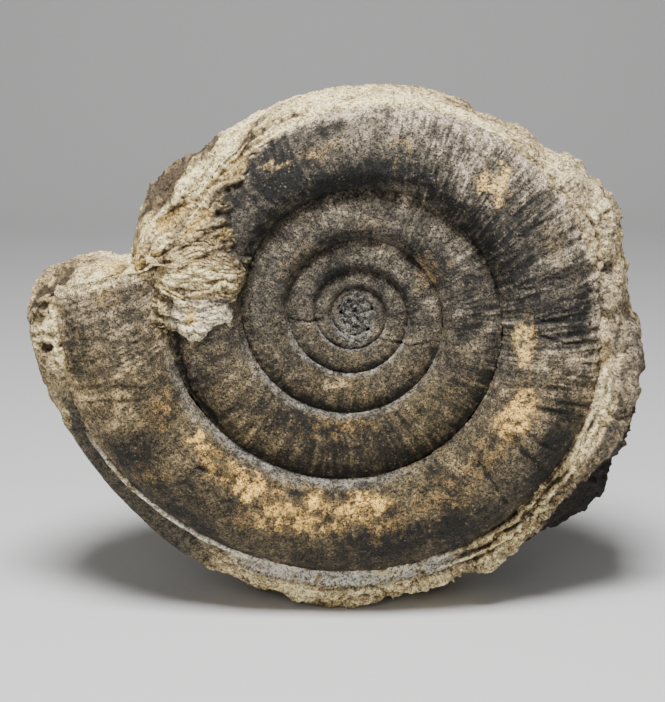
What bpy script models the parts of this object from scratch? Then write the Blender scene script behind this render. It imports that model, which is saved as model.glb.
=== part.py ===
"""An ammonite set in the limestone block that it was found in, standing on the block's flat broken foot.

Metres, +Z up, the coil's face towards -Y. The origin is under the middle of the whole stone, on the
surface that it stands on. Angles run clockwise from straight up, as seen from in front of the face.
"""
import math

import bmesh
import bpy
from mathutils import Vector, noise

MM = 0.001

# Place of the coil's axis over the middle of the footprint, and of the coil's middle plane
AXIS_X = 8.4 * MM
AXIS_Y = -27.6 * MM
AXIS_Z = 141.0 * MM

# The coil: a logarithmic spiral seam, and the whorl between one turn of the seam and the next
SEAM_AT_TOP = 20.4 * MM
GROWTH = 0.0825
TURN = 2 * math.pi
STEPS_PER_TURN = 54
FIRST_STEP = -2 * STEPS_PER_TURN
LAST_STEP = 151
BACK_STEP = LAST_STEP - 2 * STEPS_PER_TURN
SEAM_SLOPE = 0.10
CREST_SLOPE = 0.215
CREST_AT = 0.42
WALL_POWER = 3.2
FALL_POWER = 2.6
RIM_SLOPE = 0.03
BACK_SLOPE = 0.16
BACK_EDGE_SHARE = 0.5
BACK_DEPTH = 5.0 * MM
CENTRE_SHARE = 0.25
FRONT_ROWS = (0.0, 0.07, 0.2, 0.42, 0.68, 0.88, 1.0)
BACK_ROWS = (0.0, 0.5, 1.0)
# Turn back of the broken end, from its inner to its outer edge and from the near to the far flank
BROKEN_END_SLANT = math.radians(11.0)
BROKEN_END_LEAN = math.radians(7.0)
BROKEN_END_STEPS = 5

# Free rim of the last whorl against the seam's law: turn angle in degrees, share of the law's radius
RIM_SHARE = (
    (-78, 1.0), (-60, 0.95), (-34, 0.93), (-16, 0.94), (5, 0.962), (30, 0.985), (57, 1.005),
    (94, 0.995), (121, 1.008), (142, 0.998), (164, 0.975), (192, 0.955), (218, 0.944), (249, 0.958),
    (276, 0.92), (288, 0.92),
)

# Outline of the block at its widest section, degrees and millimetres from the coil's axis
WAIST = (
    (0, 101), (8, 103), (20, 105), (28, 107), (31, 105), (40, 110), (52, 116), (58, 121), (67, 128),
    (70, 128), (77, 124.5), (83, 125), (90, 125), (94, 131), (100, 135), (111, 139), (116, 141),
    (122, 137), (130, 135), (138, 137), (148, 139), (153, 142), (158, 138), (162, 140), (170, 140),
    (176, 142), (180, 144), (188, 146), (192, 145), (195, 142), (204, 142), (215, 144), (226, 143),
    (237, 144), (248, 146), (258, 148), (266, 150), (270.5, 151), (273.6, 147), (276.2, 144),
    (277.7, 140.5), (279.9, 129), (281, 124), (281.6, 103), (284, 105), (293, 107), (300, 109),
    (308, 106.5), (315, 101.5), (321, 101), (331, 98.5), (340, 100), (352, 100.5), (360, 101),
)
# Outline of the block's front edge round the broken end, where it differs from the widest section
END_EDGE = ((268, 146), (272, 142), (275, 134), (278, 118), (282, 99), (288, 100), (292, 102))
LIP_INSET = 5.0 * MM
RIM_TO_LIP = 3.0 * MM
BLOCK_STEP = 4
NOTCH_ANGLES = (274, 277.7, 279, 280, 281, 281.7, 282.7, 286)

# Heights of the block's rings in front of the coil's middle plane
BED_HEIGHT = -3.0 * MM
BED_RADII = (30 * MM, 50 * MM, 57 * MM, 65 * MM, 73 * MM)
BED_RIM_SHARE = 0.96
GROOVE_HEIGHT = 0.5 * MM
LIP_CREST_HEIGHT = 5.0 * MM
LIP_FALL = 1.5 * MM
LIP_HEIGHT = -1.0 * MM
WAIST_HEIGHT = -15.0 * MM
# Rings of the block behind the waist: height, share of the waist's radius and step out, with two ledges
BLOCK_RINGS = (
    (-22 * MM, 1.0, -1.5 * MM), (-27 * MM, 0.995, -6.0 * MM), (-35 * MM, 0.99, 1.0 * MM),
    (-46 * MM, 0.985, -1.0 * MM), (-51 * MM, 0.97, -6.0 * MM), (-62 * MM, 0.93, -2.0 * MM),
    (-70 * MM, 0.8, 0.0), (-74 * MM, 0.58, 0.0), (-76.5 * MM, 0.32, 0.0),
)
BLOCK_BACK = -77.5 * MM
SIDE_SHARE = 0.9
BACK_ROUND_SHARE = 0.5
NOTCH_SOFTENS_AT = -62.0 * MM
SOFTENING = (-24, -12, 0, 12, 24)
# The two ledges' reach round the block: mean, swing and waves of the noise, and its place
LEDGE_MEAN, LEDGE_SWING, LEDGE_WAVES, LEDGE_PLACE = 0.65, 0.9, 2.5, 0.5

# The foot that the block stands on, and the heel that sticks out low on the right at the back
FOOT_FROM, FOOT_TO = 156.0, 206.0
FOOT_FADE = 12.0
FOOT_REACH = 0.5 * MM
FOOT_COSINE = 0.5
HEEL_ANGLE, HEEL_WIDTH, HEEL_REACH = 131.0, 10.0, 16.0 * MM
HEEL_FRONT = (WAIST_HEIGHT, -34 * MM)
HEEL_BACK = (-72 * MM, -50 * MM)
# Fall of the block's top towards the back, and turn of the notch's wall in degrees per metre of depth
TOP_FALL = 0.24
NOTCH_TURN = -60.0
NOTCH_TURN_DEPTH = 30 * MM
NOTCH_TURN_FROM = (245, 270)
NOTCH_TURN_TO = (295, 320)
BACK_RADIUS = 122.0 * MM

# The rock left over the upper left of the coil
COVER_FROM = 254.0
COVER_EDGE = ((50, 304), (60, 305), (72, 309), (77, 313), (81, 320), (90, 327))
COVER_FADE_IN = 8.0
COVER_FADE_OUT = (5.0, 3.0)
COVER_INNER_RADII = (51 * MM, 58 * MM)
COVER_HEIGHT = 15.5 * MM
COVER_FALL = 11.0 * MM
COVER_FALL_RADII = (82 * MM, 101 * MM)

GAP = 0.3 * MM
PIT_RADIUS = 4.0 * MM
LUMP = 5.0 * MM
LUMP_SIZE = 30.0 * MM
SMALL_LUMP_SHARE = 0.4
SMALL_LUMP_WAVES = 2.3
LUMP_FROM = (2 * MM, 20 * MM)
LUMP_SIDE = 0.6
MITRE_LIMIT = 2.0
SHARP_ANGLE = math.radians(50)


def smooth(value, low, high):
    """Rises smoothly from 0 at low to 1 at high."""
    share = min(max((value - low) / (high - low), 0.0), 1.0)
    return share * share * (3 - 2 * share)


def along(points, value):
    """Reads a list of (place, amount) points at one place, in straight runs."""
    for (left, low), (right, high) in zip(points, points[1:]):
        if value <= right:
            return low + (high - low) * (value - left) / (right - left)
    return points[-1][1]


def place(radius, angle, height):
    """A point from its radius and angle round the coil's axis and its height before the middle plane."""
    return Vector((AXIS_X + radius * math.sin(angle), AXIS_Y - height, AXIS_Z + radius * math.cos(angle)))


def seam(angle):
    return SEAM_AT_TOP * math.exp(GROWTH * angle)


def outer_edge(angle):
    """Outer edge of the whorl whose inner seam is at this angle: the next seam, or the free rim."""
    next_angle = angle + TURN
    free_from = LAST_STEP / STEPS_PER_TURN * TURN
    if next_angle <= free_from:
        return seam(next_angle)
    degrees = math.degrees(next_angle - 3 * TURN)
    return seam(next_angle) * along(RIM_SHARE, degrees)


def whorl_height(radius_in, radius_out, share, is_free):
    """Height of the flank: a steep inner wall, a broad crest and a fall to the outer seam or rim."""
    low_in = SEAM_SLOPE * radius_in
    low_out = (RIM_SLOPE if is_free else SEAM_SLOPE) * radius_out
    crest = CREST_SLOPE * (radius_in + (radius_out - radius_in) * CREST_AT)
    if share < CREST_AT:
        return crest - (crest - low_in) * (1 - share / CREST_AT) ** WALL_POWER
    return crest - (crest - low_out) * ((share - CREST_AT) / (1 - CREST_AT)) ** FALL_POWER


def lump(point):
    """Broad swelling and hollowing of the broken rock at a point."""
    small = noise.noise(point / LUMP_SIZE * SMALL_LUMP_WAVES)
    return LUMP * noise.noise(point / LUMP_SIZE) + SMALL_LUMP_SHARE * LUMP * small


def add_strip(mesh, first_step, rows, height_of, lean):
    """Adds one flank of the coil as a spiral strip and returns its corners by (step, row)."""
    corners = {}
    last_row = len(rows) - 1
    for step in range(LAST_STEP, first_step - 1, -1):
        angle = step / STEPS_PER_TURN * TURN
        inner, outer = seam(angle), outer_edge(angle)
        is_free = step + STEPS_PER_TURN > LAST_STEP
        turned_back = smooth(step, LAST_STEP - BROKEN_END_STEPS, LAST_STEP)
        for row, share in enumerate(rows):
            if row == last_row and not is_free:
                corners[step, row] = corners[step + STEPS_PER_TURN, 0]
                continue
            radius = inner + (outer - inner) * share
            height = height_of(inner, outer, share, is_free)
            back = turned_back * (BROKEN_END_SLANT * share + lean)
            corners[step, row] = mesh.verts.new(place(radius, angle - back, height))
    for step in range(first_step, LAST_STEP):
        for row in range(last_row):
            mesh.faces.new((corners[step, row], corners[step + 1, row],
                            corners[step + 1, row + 1], corners[step, row + 1]))
    add_centre(mesh, corners, first_step, last_row, height_of)
    return corners


def add_centre(mesh, corners, first_step, last_row, height_of):
    """Closes the middle of a flank with a fan whose point lies just beside the strip's first edge."""
    angle = first_step / STEPS_PER_TURN * TURN
    radius = CENTRE_SHARE * seam(angle)
    height = height_of(seam(angle), outer_edge(angle), 0.0, False)
    centre = mesh.verts.new(place(radius, angle - TURN / 4, height))
    loop = [corners[first_step + turn, 0] for turn in range(STEPS_PER_TURN + 1)]
    loop += [corners[first_step, row] for row in range(last_row - 1, 0, -1)]
    for here, there in zip(loop, loop[1:] + loop[:1]):
        mesh.faces.new((centre, here, there))


def far_height(inner, outer, share, is_free):
    """The far flank, which lies in the rock: shallower, with the same hollow towards the middle."""
    radius = inner + (outer - inner) * share
    slope = BACK_SLOPE if 0 < share < 1 else BACK_EDGE_SHARE * BACK_SLOPE
    return -(BACK_DEPTH + slope * radius)


def ammonite_mesh():
    """The coil as one closed body: two flanks, the free rim between them and the broken end."""
    mesh = bmesh.new()
    near = add_strip(mesh, FIRST_STEP, FRONT_ROWS, whorl_height, 0.0)
    far = add_strip(mesh, BACK_STEP, BACK_ROWS, far_height, BROKEN_END_LEAN)
    near_rim, far_rim = len(FRONT_ROWS) - 1, len(BACK_ROWS) - 1
    for step in range(LAST_STEP - STEPS_PER_TURN, LAST_STEP):
        mesh.faces.new((near[step, near_rim], near[step + 1, near_rim],
                        far[step + 1, far_rim], far[step, far_rim]))
    broken_end = [near[LAST_STEP, row] for row in range(near_rim + 1)]
    broken_end += [far[LAST_STEP, row] for row in range(far_rim, -1, -1)]
    middle = sum((corner.co for corner in broken_end), Vector()) / len(broken_end)
    centre = mesh.verts.new(middle)
    for here, there in zip(broken_end, broken_end[1:] + broken_end[:1]):
        mesh.faces.new((centre, here, there))
    return mesh


def rim_radius(degrees):
    """Radius of the coil's outermost edge in a direction."""
    if degrees > math.degrees(LAST_STEP / STEPS_PER_TURN * TURN) - 720:
        degrees -= 360
    return seam(3 * TURN + math.radians(degrees)) * along(RIM_SHARE, degrees)


def cover_height(degrees, radius):
    """Height of the rock left over the upper left of the coil, and how far it is there at all."""
    edge = along(COVER_EDGE, radius / MM)
    before, beyond = COVER_FADE_OUT
    sector = smooth(degrees, COVER_FROM, COVER_FROM + COVER_FADE_IN)
    sector *= 1 - smooth(degrees, edge - before, edge + beyond)
    weight = sector * smooth(radius, *COVER_INNER_RADII)
    return weight, COVER_HEIGHT - COVER_FALL * smooth(radius, *COVER_FALL_RADII)


def block_column(degrees):
    """One meridian of the block, from the front's middle over the lip and down the side to the back."""
    angle = math.radians(degrees)
    waist = along(WAIST, degrees) * MM
    lip = waist - LIP_INSET
    if END_EDGE[0][0] <= degrees <= END_EDGE[-1][0]:
        lip = along(END_EDGE, degrees) * MM
    rim = min(rim_radius(degrees), lip - RIM_TO_LIP)
    lift = math.cos(angle)
    column = [(radius, BED_HEIGHT) for radius in (*BED_RADII, BED_RIM_SHARE * rim)]
    column.append((rim + 2 * GAP, GROOVE_HEIGHT))
    column.append(((rim + lip) / 2, LIP_CREST_HEIGHT - LIP_FALL * (1 + lift)))
    column.append((lip, LIP_HEIGHT))
    column = [raise_cover(degrees, radius, height) for radius, height in column]
    column.append((waist, WAIST_HEIGHT))
    foot = smooth(degrees, FOOT_FROM, FOOT_FROM + FOOT_FADE)
    foot *= 1 - smooth(degrees, FOOT_TO - FOOT_FADE, FOOT_TO)
    heel = math.exp(-((degrees - HEEL_ANGLE) / HEEL_WIDTH) ** 2)
    softened = sum(along(WAIST, (degrees + turn) % 360) for turn in SOFTENING) / len(SOFTENING) * MM
    near_notch = smooth(degrees, *NOTCH_TURN_FROM) * (1 - smooth(degrees, *NOTCH_TURN_TO))
    around = Vector((LEDGE_WAVES * math.sin(angle), LEDGE_WAVES * math.cos(angle), LEDGE_PLACE))
    ledge = LEDGE_MEAN + LEDGE_SWING * noise.noise(around)
    for height, share, step_out in BLOCK_RINGS:
        behind = WAIST_HEIGHT - height
        notch_turn = NOTCH_TURN * min(behind, NOTCH_TURN_DEPTH) * near_notch
        outline = along(WAIST, degrees - notch_turn) * MM
        softness = smooth(height, WAIST_HEIGHT, NOTCH_SOFTENS_AT)
        outline += min(softened - outline, 0.0) * softness
        if share < SIDE_SHARE:
            outline = BACK_RADIUS + (softened - BACK_RADIUS) * smooth(share, BACK_ROUND_SHARE, 1.0)
        radius = outline * share + step_out * max(ledge, 0.0) - TOP_FALL * max(lift, 0.0) * behind * share
        if share > SIDE_SHARE:
            radius += heel * HEEL_REACH * smooth(height, *HEEL_FRONT) * smooth(height, *HEEL_BACK)
            if foot > 0:
                floor_radius = AXIS_Z / max(-lift, FOOT_COSINE) + FOOT_REACH
                radius += foot * max(floor_radius - radius, 0.0)
        column.append((radius, height))
    return column


def raise_cover(degrees, radius, height):
    weight, level = cover_height(degrees, radius)
    return radius, height + weight * max(level - height, 0.0)


def block_mesh():
    """The block as one closed body of meridians, cut off flat where it stands."""
    mesh = bmesh.new()
    angles = sorted(set(range(0, 360, BLOCK_STEP)) | set(NOTCH_ANGLES))
    columns = []
    for degrees in angles:
        corners = []
        for radius, height in block_column(degrees):
            angle = math.radians(degrees)
            point = place(radius, angle, height)
            swelling = lump(point) * smooth(WAIST_HEIGHT - height, *LUMP_FROM)
            point = place(radius + swelling, angle, height + LUMP_SIDE * swelling)
            point.z = max(point.z, 0.0)
            corners.append(mesh.verts.new(point))
        columns.append(corners)
    front = mesh.verts.new(place(0.0, 0.0, BED_HEIGHT))
    back = mesh.verts.new(place(0.0, 0.0, BLOCK_BACK))
    for here, there in zip(columns, columns[1:] + columns[:1]):
        mesh.faces.new((front, here[0], there[0]))
        mesh.faces.new((back, there[-1], here[-1]))
        for row in range(len(here) - 1):
            mesh.faces.new((here[row], here[row + 1], there[row + 1], there[row]))
    return mesh


def finish_mesh(mesh, name):
    """Turns a bmesh into an object's mesh with triangles that all face outwards."""
    bmesh.ops.triangulate(mesh, faces=mesh.faces[:])
    bmesh.ops.recalc_face_normals(mesh, faces=mesh.faces[:])
    data = bpy.data.meshes.new(name)
    mesh.to_mesh(data)
    mesh.free()
    return data


def add_object(name, data):
    item = bpy.data.objects.new(name, data)
    bpy.context.scene.collection.objects.link(item)
    return item


def material(name, colour, roughness):
    finish = bpy.data.materials.new(name)
    finish.use_nodes = True
    shader = finish.node_tree.nodes["Principled BSDF"]
    shader.inputs["Base Color"].default_value = (*colour, 1.0)
    shader.inputs["Roughness"].default_value = roughness
    shader.inputs["Metallic"].default_value = 0.0
    return finish


def make_ammonite():
    item = add_object("ammonite", finish_mesh(ammonite_mesh(), "ammonite"))
    item.data.materials.append(material("fossil_shell", (0.085, 0.072, 0.058), 0.62))
    item.data.shade_smooth()
    item.data.set_sharp_from_angle(angle=SHARP_ANGLE)
    return item


def make_cutter(ammonite):
    """The coil swelled by the gap, which cuts the coil's bed in the block."""
    mesh = bmesh.new()
    mesh.from_mesh(ammonite.data)
    mesh.normal_update()
    moves = [GAP * min(corner.calc_shell_factor(), MITRE_LIMIT) * corner.normal for corner in mesh.verts]
    for corner, move in zip(mesh.verts, moves):
        corner.co += move
    cutter = add_object("ammonite_bed", finish_mesh(mesh, "ammonite_bed"))
    cutter.hide_render = True
    cutter.display_type = "WIRE"
    return cutter


def make_pit():
    """The small dark hollow where the broken end meets the whorl inside it."""
    angle = LAST_STEP / STEPS_PER_TURN * TURN
    mesh = bmesh.new()
    bmesh.ops.create_icosphere(mesh, subdivisions=2, radius=PIT_RADIUS)
    bmesh.ops.translate(mesh, vec=place(seam(angle), angle, SEAM_SLOPE * seam(angle)), verts=mesh.verts)
    pit = add_object("corner_pit", finish_mesh(mesh, "corner_pit"))
    pit.hide_render = True
    pit.display_type = "WIRE"
    return pit


def make_block(cutters):
    item = add_object("rock_matrix", finish_mesh(block_mesh(), "rock_matrix"))
    item.data.materials.append(material("limestone", (0.44, 0.38, 0.29), 0.9))
    for cutter in cutters:
        cut = item.modifiers.new(cutter.name, "BOOLEAN")
        cut.operation = "DIFFERENCE"
        cut.object = cutter
    return item


def main():
    for item in list(bpy.data.objects):
        bpy.data.objects.remove(item)
    ammonite = make_ammonite()
    make_block([make_cutter(ammonite), make_pit()])


main()
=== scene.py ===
"""Looks of the ammonite in its limestone block: detailed skins over the frame's two solids.

Metres, +Z up, the coil's face towards -Y. Angles run clockwise from straight up, as seen from in front
of the face. Heights are in front of the coil's middle plane.
"""
import math

import bpy
import numpy as np
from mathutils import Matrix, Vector, noise


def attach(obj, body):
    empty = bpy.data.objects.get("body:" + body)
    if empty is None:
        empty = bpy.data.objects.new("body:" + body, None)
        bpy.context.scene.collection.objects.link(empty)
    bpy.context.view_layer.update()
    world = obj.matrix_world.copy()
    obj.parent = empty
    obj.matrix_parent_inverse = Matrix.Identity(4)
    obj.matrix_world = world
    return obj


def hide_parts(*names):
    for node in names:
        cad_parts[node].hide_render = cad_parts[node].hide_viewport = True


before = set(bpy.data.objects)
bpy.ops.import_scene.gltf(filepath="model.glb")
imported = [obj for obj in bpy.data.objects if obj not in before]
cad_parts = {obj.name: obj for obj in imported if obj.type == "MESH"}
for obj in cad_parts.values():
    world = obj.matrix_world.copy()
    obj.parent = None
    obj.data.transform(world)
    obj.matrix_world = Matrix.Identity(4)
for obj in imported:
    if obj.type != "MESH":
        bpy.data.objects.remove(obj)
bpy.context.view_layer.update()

MM = 0.001
TURN = 2 * math.pi

AXIS_X = 8.4 * MM
AXIS_Y = -27.6 * MM
AXIS_Z = 141.0 * MM

# The coil, as in the frame
SEAM_AT_TOP = 20.4 * MM
GROWTH = 0.0825
LAST_ANGLE = 151 / 54 * TURN
SEAM_SLOPE = 0.10
CREST_SLOPE = 0.215
CREST_AT = 0.42
RIM_SLOPE = 0.03
BACK_SLOPE = 0.16
BACK_DEPTH = 5.0 * MM
BROKEN_END_SLANT = math.radians(11.0)
BROKEN_END_LEAN = math.radians(7.0)
END_RUN = 5 / 54 * TURN
RIM_SHARE = (
    (-78, 1.0), (-60, 0.95), (-34, 0.93), (-16, 0.94), (5, 0.962), (30, 0.985), (57, 1.005), (94, 0.995),
    (121, 1.008), (142, 0.998), (164, 0.975), (192, 0.955), (218, 0.944), (249, 0.958), (276, 0.92),
    (288, 0.92),
)

# The block, as in the frame
WAIST = (
    (0, 101), (8, 103), (20, 105), (28, 107), (31, 105), (40, 110), (52, 116), (58, 121), (67, 128),
    (70, 128), (77, 124.5), (83, 125), (90, 125), (94, 131), (100, 135), (111, 139), (116, 141), (122, 137),
    (130, 135), (138, 137), (148, 139), (153, 142), (158, 138), (162, 140), (170, 140), (176, 142),
    (180, 144), (188, 146), (192, 145), (195, 142), (204, 142), (215, 144), (226, 143), (237, 144),
    (248, 146), (258, 148), (266, 150), (270.5, 151), (273.6, 147), (276.2, 144), (277.7, 140.5),
    (279.9, 129), (281, 124), (281.6, 103), (284, 105), (293, 107), (300, 109), (308, 106.5), (315, 101.5),
    (321, 101), (331, 98.5), (340, 100), (352, 100.5), (360, 101),
)
END_EDGE = ((268, 146), (272, 142), (275, 134), (278, 118), (282, 99), (288, 100), (292, 102))
LIP_INSET = 5.0 * MM
BED_HEIGHT = -3.0 * MM
GROOVE_HEIGHT = 0.5 * MM
LIP_CREST_HEIGHT = 5.0 * MM
LIP_HEIGHT = -1.0 * MM
WAIST_HEIGHT = -15.0 * MM
# Rings of the block's sides and back: height, share of the outline, how far the sides step out
BLOCK_RINGS = (
    (-22 * MM, 1.0, -1.5 * MM), (-27 * MM, 0.995, -6.0 * MM), (-35 * MM, 0.99, 1.0 * MM),
    (-46 * MM, 0.985, -1.0 * MM), (-51 * MM, 0.97, -6.0 * MM), (-62 * MM, 0.93, -2.0 * MM),
    (-70 * MM, 0.8, 0.0), (-74 * MM, 0.58, 0.0), (-76.5 * MM, 0.32, 0.0),
)
BLOCK_BACK = -77.5 * MM
# The first ring of the back piece, and the steps from ring to ring in each piece
BACK_RING = 11
FRONT_RUNS = (2, 4, 14, 11, 18, 6, 5, 6, 7, 5, 9, 3)
BACK_RUNS = (14, 22, 26, 28)
NOTCH_SOFTENS_AT = -62.0 * MM
SOFTENING = (-24, -12, 0, 12, 24)
FOOT_FROM, FOOT_TO = 156.0, 206.0
HEEL_ANGLE, HEEL_WIDTH, HEEL_REACH = 131.0, 10.0, 16.0 * MM
TOP_FALL = 0.24
NOTCH_TURN = -60.0
BACK_RADIUS = 122.0 * MM
COVER_FROM = 254.0
COVER_EDGE = ((50, 304), (60, 305), (72, 309), (77, 313), (81, 320), (90, 327))
COVER_HEIGHT = 15.5 * MM
LUMP = 5.0 * MM
LUMP_SIZE = 30.0 * MM
# Angles of the block's rows of points: from, to and step in degrees, closest at the notch
MERIDIANS = ((0, 270, 0.42), (270, 277, 0.25), (277, 284, 0.07), (284, 360, 0.36))


def smooth(value, low, high):
    """Rises smoothly from 0 at low to 1 at high."""
    share = np.clip((value - low) / (high - low), 0.0, 1.0)
    return share * share * (3 - 2 * share)


def between(value, start, full, fade, end):
    """Rises from 0 at start to 1 at full, and falls again from fade to end."""
    return smooth(value, start, full) * (1 - smooth(value, fade, end))


def close_to(value, middle, full, end):
    """1 within full of a middle value, 0 beyond end from it."""
    return 1 - smooth(np.abs(value - middle), full, end)


def waves(seed, *directions):
    """Smooth noise at places given by three values each, already divided by the size wanted."""
    first = directions[0]
    return wave(np.stack([value + 0 * first for value in directions], axis=-1), seed)


def along(points, value):
    """Reads a list of (place, amount) points at many places, in straight runs."""
    places, amounts = zip(*points)
    return np.interp(value, places, amounts)


def place(radius, angle, height):
    """Points from their radii and angles round the coil's axis and their heights."""
    radius, angle, height = np.broadcast_arrays(radius, angle, height)
    x = AXIS_X + radius * np.sin(angle)
    z = AXIS_Z + radius * np.cos(angle)
    return np.stack((x, AXIS_Y - height, z), axis=-1)


def on_face(points):
    """x and z in millimetres from the coil's axis."""
    return (points[..., 0] - AXIS_X) / MM, (points[..., 2] - AXIS_Z) / MM


# Noise that repeats exactly from run to run

def lattice(x, y, z, seed):
    """A number from 0 to 1 for each corner of a lattice of whole numbers."""
    mixed = x.astype(np.int64).astype(np.uint32) * np.uint32(374761393)
    mixed = mixed + y.astype(np.int64).astype(np.uint32) * np.uint32(668265263)
    mixed = mixed + z.astype(np.int64).astype(np.uint32) * np.uint32(2246822519)
    mixed = mixed + np.uint32(seed * 40503 + 977)
    mixed = (mixed ^ (mixed >> np.uint32(15))) * np.uint32(2246822519)
    mixed = (mixed ^ (mixed >> np.uint32(13))) * np.uint32(3266489917)
    mixed = mixed ^ (mixed >> np.uint32(16))
    return (mixed & np.uint32(0xFFFFFF)).astype(np.float64) / 0xFFFFFF


def wave(points, seed):
    """Smooth noise from -1 to 1 at points that are already divided by the size wanted."""
    base = np.floor(points)
    part = points - base
    part = part * part * part * (part * (part * 6 - 15) + 10)
    total = 0.0
    for dx in (0, 1):
        weight_x = part[..., 0] if dx else 1 - part[..., 0]
        for dy in (0, 1):
            weight_y = part[..., 1] if dy else 1 - part[..., 1]
            for dz in (0, 1):
                weight_z = part[..., 2] if dz else 1 - part[..., 2]
                corner = lattice(base[..., 0] + dx, base[..., 1] + dy, base[..., 2] + dz, seed)
                total = total + weight_x * weight_y * weight_z * corner
    return 2 * total - 1


def fractal(points, size, octaves, seed, gain=0.5):
    """Smooth noise with ever finer noise on it, from about -1 to 1."""
    total, strength, weight = 0.0, 1.0, 0.0
    for octave in range(octaves):
        total = total + strength * wave(points / size * 2.03 ** octave + 17.3 * octave, seed + octave)
        weight += strength
        strength *= gain
    return total / weight * 1.6


def chips(points, size, seed):
    """Flat facets tilted at random, one for each cell, as on a broken stone."""
    scaled = points / size
    base = np.floor(scaled)
    best = np.full(points.shape[:-1], 9.0)
    value = np.zeros(points.shape[:-1])
    for dx in (-1, 0, 1):
        for dy in (-1, 0, 1):
            for dz in (-1, 0, 1):
                cell = base[..., 0] + dx, base[..., 1] + dy, base[..., 2] + dz
                middle = [cell[k] + lattice(*cell, seed + k) for k in range(3)]
                away = scaled - np.stack(middle, axis=-1)
                distance = np.sqrt((away ** 2).sum(axis=-1))
                tilt = np.stack([lattice(*cell, seed + k) - 0.5 for k in (3, 4, 5)], axis=-1)
                level = (away * tilt).sum(axis=-1) * 1.6 + (lattice(*cell, seed + 6) - 0.5) * 0.5
                value = np.where(distance < best, level, value)
                best = np.minimum(best, distance)
    return value


def normals_of(grid):
    """Unit normals of a grid of points."""
    down = np.gradient(grid, axis=0)
    across = np.gradient(grid, axis=1)
    normal = np.cross(down, across)
    return normal / np.maximum(np.linalg.norm(normal, axis=-1, keepdims=True), 1e-12)


# The coil

def seam(angle):
    """Radius of the spiral seam, which grows evenly with the angle."""
    return SEAM_AT_TOP * np.exp(GROWTH * angle)


def outer_edge(angle):
    """Outer edge of the whorl whose inner seam is at this angle: the next seam, or the free rim."""
    following = angle + TURN
    law = seam(following)
    return np.where(following > LAST_ANGLE, law * along(RIM_SHARE, np.degrees(following - 3 * TURN)), law)


def whorl_height(inner, outer, share, is_free):
    """Height of the flank: a steep inner wall, a broad crest and a fall to the outer seam or rim."""
    low_in = SEAM_SLOPE * inner
    low_out = np.where(is_free, RIM_SLOPE, SEAM_SLOPE) * outer
    crest = CREST_SLOPE * (inner + (outer - inner) * CREST_AT)
    rise = np.clip(1 - share / CREST_AT, 0.0, 1.0) ** 3.2
    fall = np.clip((share - CREST_AT) / (1 - CREST_AT), 0.0, 1.0) ** 2.6
    return np.where(share < CREST_AT, crest - (crest - low_in) * rise, crest - (crest - low_out) * fall)


def patch(x, z, centre_x, centre_z, half_width, half_height, turn=0.0):
    """1 in the middle of an oval patch, 0 outside it. Millimetres from the coil's axis, turn in degrees."""
    turn = math.radians(turn)
    dx, dz = x - centre_x, z - centre_z
    u = (dx * math.cos(turn) - dz * math.sin(turn)) / half_width
    v = (dx * math.sin(turn) + dz * math.cos(turn)) / half_height
    return 1 - smooth(np.sqrt(u * u + v * v), 0.35, 1.15)


def distance_to(x, z, start, end):
    """Distance from a straight line between two (x, z) points."""
    (x0, z0), (x1, z1) = start, end
    run_x, run_z = x1 - x0, z1 - z0
    share = np.clip(((x - x0) * run_x + (z - z0) * run_z) / (run_x ** 2 + run_z ** 2), 0, 1)
    return np.hypot(x - x0 - share * run_x, z - z0 - share * run_z)


def stroke(x, z, points, half_width):
    """1 on a line of (x, z) points, 0 beyond half_width from it. Millimetres from the coil's axis."""
    nearest = np.min([distance_to(x, z, *ends) for ends in zip(points, points[1:])], axis=0)
    return 1 - smooth(nearest, 0.2 * half_width, half_width)


def region(x, z, corners, soft):
    """1 inside a polygon of (x, z) corners, 0 outside it, with a soft edge. Millimetres from the axis."""
    sides = list(zip(corners, corners[1:] + corners[:1]))
    inside = np.zeros(x.shape, dtype=bool)
    for (x0, z0), (x1, z1) in sides:
        crossing = x0 + (z - z0) * (x1 - x0) / ((z1 - z0) or 1e-9)
        inside ^= ((z0 > z) != (z1 > z)) & (x < crossing)
    nearest = np.min([distance_to(x, z, *ends) for ends in sides], axis=0)
    return smooth(np.where(inside, nearest, -nearest), -soft, soft)


def patches(x, z, ovals):
    """The strongest of a list of oval patches at each place."""
    total = np.zeros(x.shape)
    for *oval, strength in ovals:
        total = np.maximum(total, strength * patch(x, z, *oval))
    return total


# Patches on the shell: x and z of the middle in mm, half width, half height, turn in degrees, strength
OCHRE = (
    (-14, -88, 52, 11, 3, 0.5), (-58, -66, 16, 9, 40, 0.5), (-46, -74, 11, 8, 25, 1.0),
    (-67, -54, 6, 11, -35, 0.85), (-28, -88, 24, 11, 5, 0.8), (4, -86, 24, 10, -8, 0.75),
    (74, -10, 8, 15, 10, 0.85), (70, -40, 10, 19, 25, 1.0), (-36, 69, 7, 4, -10, 0.7),
    (-16, 75, 15, 7, 0, 0.5), (17, 76, 8, 6, 0, 0.5), (62, 62, 9, 7, 40, 0.8), (-86, -40, 8, 9, 0, 0.5),
    (-110, 12, 12, 6, 0, 0.45), (40, -80, 18, 10, -20, 0.35), (34, 20, 6, 12, -20, 0.45),
    (-6, -50, 22, 5, 0, 0.4), (-90, -72, 10, 8, 30, 0.35), (56, -62, 12, 12, -40, 0.35),
    (-24, 26, 10, 8, 0, 0.25), (10, 42, 12, 6, 0, 0.3), (88, 34, 8, 12, 20, 0.35),
)
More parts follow.
